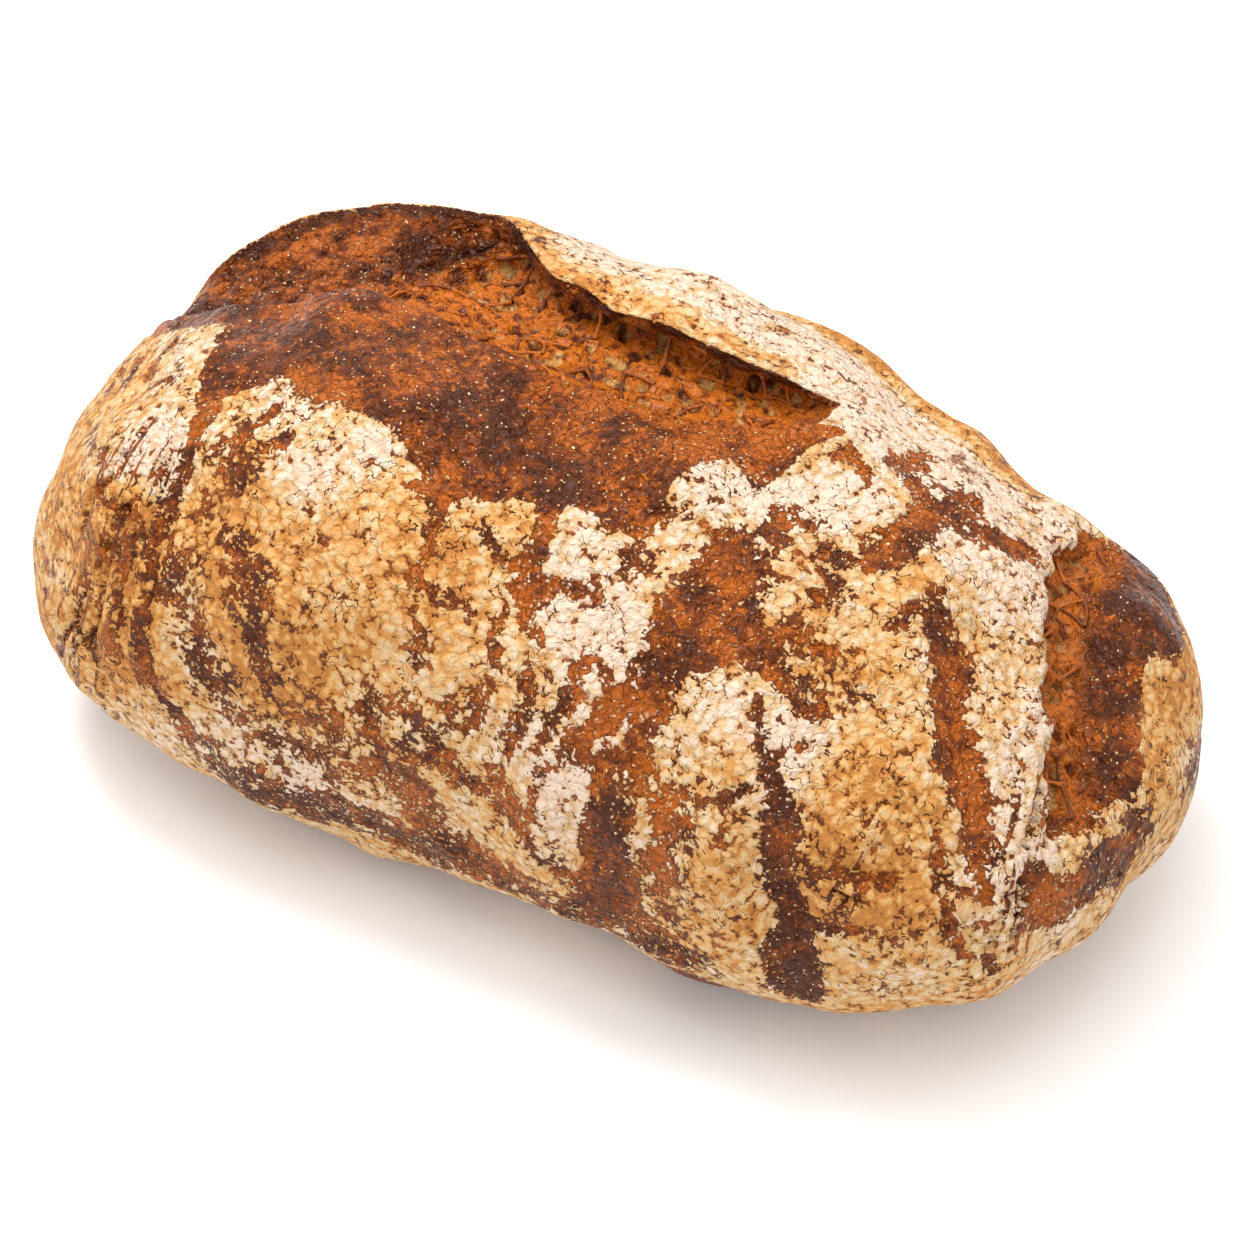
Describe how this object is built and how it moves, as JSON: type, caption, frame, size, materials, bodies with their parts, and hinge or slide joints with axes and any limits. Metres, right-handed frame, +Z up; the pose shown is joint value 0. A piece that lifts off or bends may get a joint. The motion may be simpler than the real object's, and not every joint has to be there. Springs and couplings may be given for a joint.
{
  "type": "rye bread loaf",
  "caption": "Long hand-shaped rye bread loaf with a torn top slash, a lifted crust ear, a cross slash at one end and a flat base.",
  "frame": {"origin": "centre of the loaf's bounding box in plan, at the level of its flat base", "axes": "+X along the loaf towards the end with the cross slash, +Z up, -Y the side that the main slash opens to"},
  "size_m": [0.2818, 0.1666, 0.1158],
  "materials": {
    "crust": "baked rye crust, matt, dusted with flour that is cream to toasted tan, over dark brown"
  },
  "bodies": {
    "root": {"rye_loaf": "crust"}
  },
  "joints": []
}
